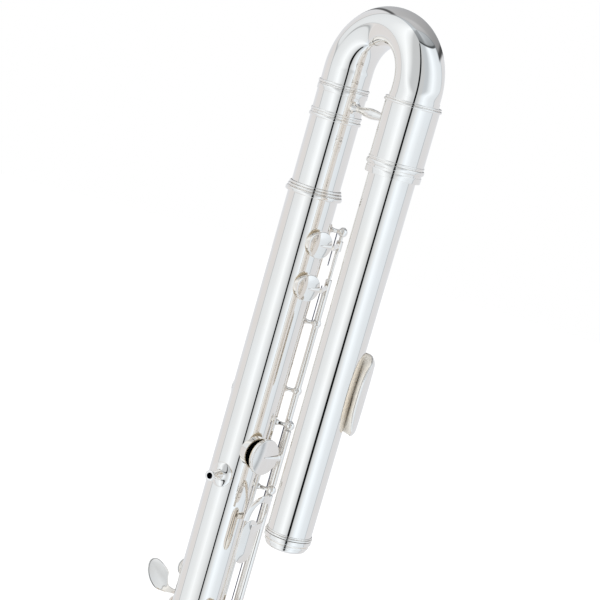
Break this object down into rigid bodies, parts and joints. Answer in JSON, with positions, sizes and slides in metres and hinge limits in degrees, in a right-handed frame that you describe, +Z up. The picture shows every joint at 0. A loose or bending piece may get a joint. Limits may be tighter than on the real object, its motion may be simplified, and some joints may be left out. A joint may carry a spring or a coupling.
{
  "type": "bass flute",
  "caption": "Bass flute with a bent head joint, drawn tone holes and closed-hole keywork on body and foot, made to come apart and be played.",
  "frame": {"origin": "on the axis of the body bore, at the open end of the foot joint", "axes": "+Z up the bore toward the bend; -Y is the side that the main tone holes face; +X is to the right seen from that side"},
  "size_m": [0.0585, 0.1371, 0.9457],
  "materials": {
    "tube_silver": "silver plate polished to a mirror",
    "ring_silver": "silver plate polished to a mirror, rings turned",
    "key_silver": "silver plate polished to a mirror",
    "lip_silver": "silver plate polished to a mirror",
    "steel": "ground steel rod",
    "spring_steel": "blued steel wire",
    "pads": "felt under a skin",
    "cork": "natural cork"
  },
  "bodies": {
    "foot": {"foot_tube": "tube_silver", "foot_rings": "ring_silver", "foot_ribs": "tube_silver", "foot_posts": "tube_silver", "foot_rod": "steel", "foot_springs": "spring_steel"},
    "body": {"body_tube": "tube_silver", "body_rings": "ring_silver", "body_ribs": "tube_silver", "body_posts": "tube_silver", "body_rods": "steel", "body_springs": "spring_steel", "hand_rest_socket": "tube_silver"},
    "crook": {"crook_tube": "tube_silver", "crook_tenon": "tube_silver", "crook_tenon_rings": "ring_silver", "crook_brace": "tube_silver", "receiver_sleeve": "tube_silver", "receiver_liner": "tube_silver", "receiver_rings": "ring_silver"},
    "head": {"head_tube": "tube_silver", "head_band": "ring_silver", "lip_plate": "lip_silver", "embouchure_riser": "lip_silver"},
    "crown": {"crown": "ring_silver"},
    "stopper": {"stopper_cork": "cork", "stopper_screw": "tube_silver"},
    "d_sharp_trill_key": {"d_sharp_trill_key": "key_silver", "d_sharp_trill_pad": "pads"},
    "d_trill_key": {"d_trill_key": "key_silver", "d_trill_pad": "pads"},
    "c_sharp_key": {"c_sharp_key": "key_silver", "c_sharp_pad": "pads"},
    "thumb_b_key": {"thumb_b_key": "key_silver", "thumb_b_pad": "pads"},
    "thumb_b_flat_key": {"thumb_b_flat_lever": "key_silver"},
    "b_flat_key": {"b_flat_key": "key_silver", "b_flat_pad": "pads"},
    "a_key": {"a_key": "key_silver", "a_pad": "pads"},
    "g_key": {"g_key": "key_silver", "g_pads": "pads"},
    "g_sharp_key": {"g_sharp_key": "key_silver", "g_sharp_pad": "pads"},
    "f_sharp_key": {"f_sharp_key": "key_silver", "f_sharp_pad": "pads"},
    "f_key": {"f_key": "key_silver", "f_pad": "pads"},
    "e_key": {"e_key": "key_silver", "e_pad": "pads"},
    "d_key": {"d_key": "key_silver", "d_pad": "pads"},
    "foot_d_sharp_key": {"foot_d_sharp_key": "key_silver", "foot_d_sharp_pad": "pads"},
    "foot_c_sharp_key": {"foot_c_sharp_key": "key_silver", "foot_c_sharp_pad": "pads"},
    "foot_low_c_key": {"foot_low_c_key": "key_silver", "foot_low_c_pad": "pads"}
  },
  "joints": [
    {"name": "body_turn", "type": "hinge", "parent": "foot", "child": "body", "pos_m": [0, 0, 0.2485], "axis": [0, 0, 1], "range_deg": [-20, 20]},
    {"name": "crook_turn", "type": "hinge", "parent": "body", "child": "crook", "pos_m": [0, 0, 0.804], "axis": [0, 0, 1], "range_deg": [-25, 25]},
    {"name": "head_slide", "type": "slide", "parent": "crook", "child": "head", "axis": [0, 0, -1], "range_m": [0, 0.012]},
    {"name": "crown_turn", "type": "hinge", "parent": "head", "child": "crown", "pos_m": [0.00474, -0.06783, 0.592], "axis": [0, 0, 1], "range_deg": [-720, 720]},
    {"name": "stopper_slide", "type": "slide", "parent": "head", "child": "stopper", "axis": [0, 0, 1], "range_m": [-0.0017, 0.0017]},
    {"name": "d_sharp_trill_press", "type": "hinge", "parent": "body", "child": "d_sharp_trill_key", "pos_m": [0.02421, -0.01078, 0.7825], "axis": [0, 0, 1], "range_deg": [0, 10], "stiffness_Nm_per_rad": 0.06, "springref_deg": -5},
    {"name": "d_trill_press", "type": "hinge", "parent": "body", "child": "d_trill_key", "pos_m": [0.02421, -0.01078, 0.753], "axis": [0, 0, 1], "range_deg": [0, 10], "stiffness_Nm_per_rad": 0.06, "springref_deg": -5},
    {"name": "c_sharp_press", "type": "hinge", "parent": "body", "child": "c_sharp_key", "pos_m": [0.02503, 0.01011, 0.719], "axis": [0, 0, 1], "range_deg": [0, 11], "stiffness_Nm_per_rad": 0.06, "springref_deg": -5.5},
    {"name": "thumb_b_press", "type": "hinge", "parent": "body", "child": "thumb_b_key", "pos_m": [0.02503, 0.01011, 0.668], "axis": [0, 0, 1], "range_deg": [0, 11], "stiffness_Nm_per_rad": 0.06, "springref_deg": -5.5},
    {"name": "thumb_b_flat_press", "type": "hinge", "parent": "body", "child": "thumb_b_flat_key", "pos_m": [0.02503, 0.01011, 0.515], "axis": [0, 0, 1], "range_deg": [0, 11], "stiffness_Nm_per_rad": 0.06, "springref_deg": -5.5},
    {"name": "b_flat_press", "type": "hinge", "parent": "body", "child": "b_flat_key", "pos_m": [0.01978, -0.0191, 0.636], "axis": [0, 0, 1], "range_deg": [-11, 0], "stiffness_Nm_per_rad": 0.06, "springref_deg": 5.5},
    {"name": "a_press", "type": "hinge", "parent": "body", "child": "a_key", "pos_m": [0.01978, -0.0191, 0.516], "axis": [0, 0, 1], "range_deg": [-11, 0], "stiffness_Nm_per_rad": 0.06, "springref_deg": 5.5},
    {"name": "g_press", "type": "hinge", "parent": "body", "child": "g_key", "pos_m": [0.01978, -0.0191, 0.462], "axis": [0, 0, 1], "range_deg": [-11, 0], "stiffness_Nm_per_rad": 0.06, "springref_deg": 5.5},
    {"name": "g_sharp_press", "type": "hinge", "parent": "body", "child": "g_sharp_key", "pos_m": [-0.02075, -0.01804, 0.486], "axis": [0, 0, 1], "range_deg": [0, 10], "stiffness_Nm_per_rad": 0.06, "springref_deg": -5},
    {"name": "f_sharp_press", "type": "hinge", "parent": "body", "child": "f_sharp_key", "pos_m": [0.01978, -0.0191, 0.409], "axis": [0, 0, 1], "range_deg": [-11, 0], "stiffness_Nm_per_rad": 0.06, "springref_deg": 5.5},
    {"name": "f_press", "type": "hinge", "parent": "body", "child": "f_key", "pos_m": [0.01978, -0.0191, 0.374], "axis": [0, 0, 1], "range_deg": [-11, 0], "stiffness_Nm_per_rad": 0.06, "springref_deg": 5.5},
    {"name": "e_press", "type": "hinge", "parent": "body", "child": "e_key", "pos_m": [0.01978, -0.0191, 0.33], "axis": [0, 0, 1], "range_deg": [-11, 0], "stiffness_Nm_per_rad": 0.06, "springref_deg": 5.5},
    {"name": "d_press", "type": "hinge", "parent": "body", "child": "d_key", "pos_m": [0.01978, -0.0191, 0.28], "axis": [0, 0, 1], "range_deg": [-11, 0], "stiffness_Nm_per_rad": 0.06, "springref_deg": 5.5},
    {"name": "foot_d_sharp_press", "type": "hinge", "parent": "foot", "child": "foot_d_sharp_key", "pos_m": [-0.01978, -0.0191, 0.218], "axis": [0, 0, 1], "range_deg": [-10, 0], "stiffness_Nm_per_rad": 0.06, "springref_deg": 5},
    {"name": "foot_c_sharp_press", "type": "hinge", "parent": "foot", "child": "foot_c_sharp_key", "pos_m": [0.01978, -0.0191, 0.152], "axis": [0, 0, 1], "range_deg": [-11, 0], "stiffness_Nm_per_rad": 0.06, "springref_deg": 5.5},
    {"name": "foot_low_c_press", "type": "hinge", "parent": "foot", "child": "foot_low_c_key", "pos_m": [0.01978, -0.0191, 0.082], "axis": [0, 0, 1], "range_deg": [-11, 0], "stiffness_Nm_per_rad": 0.06, "springref_deg": 5.5}
  ],
  "couplings": [
    {"joint": "stopper_slide", "follows": "crown_turn", "m_per_rad": -0.00012732},
    {"joint": "f_sharp_press", "follows": "f_press", "ratio": 1},
    {"joint": "b_flat_press", "follows": "a_press", "ratio": 1},
    {"joint": "thumb_b_flat_press", "follows": "thumb_b_press", "ratio": 1}
  ]
}
